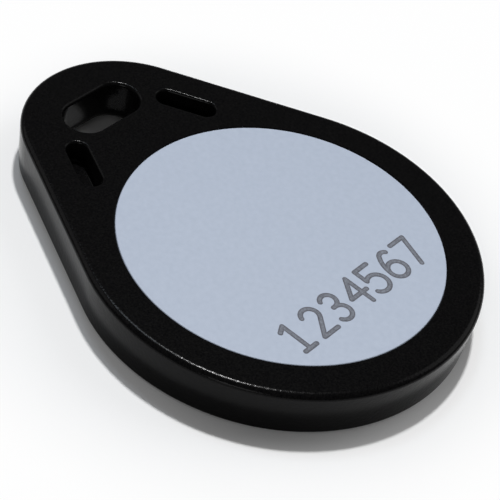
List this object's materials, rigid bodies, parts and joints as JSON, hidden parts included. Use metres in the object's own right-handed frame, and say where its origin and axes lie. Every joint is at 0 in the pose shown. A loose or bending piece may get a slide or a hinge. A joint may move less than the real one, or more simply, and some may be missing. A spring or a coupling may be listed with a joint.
{
  "type": "rfid key fob tag",
  "caption": "Flat teardrop proximity tag: a black moulded body with a key-ring slot, a flush pale number disc, and an antenna coil and chip sealed under the disc.",
  "frame": {"origin": "on the axis of the round end and of the number disc, on the flat back face", "axes": "+Y along the body to the key-ring end, +Z out of the numbered face, +X to the right when the number reads upright"},
  "size_m": [0.032, 0.0407, 0.0042],
  "materials": {
    "body_plastic": "fine spark-eroded moulded texture, black",
    "disc_plastic": "smooth satin, pale blue-grey",
    "coil_wire": "enamelled copper wire",
    "board_laminate": "glass-epoxy laminate",
    "pad_metal": "gold-plated copper",
    "silicon": "polished silicon",
    "cap_resin": "moulded epoxy"
  },
  "bodies": {
    "root": {"tag_body": "body_plastic", "face_disc": "disc_plastic", "antenna_coil": "coil_wire", "module_board": "board_laminate", "inner_lead_pad": "pad_metal", "outer_lead_pad": "pad_metal", "chip_die": "silicon", "chip_cap": "cap_resin"}
  },
  "joints": []
}
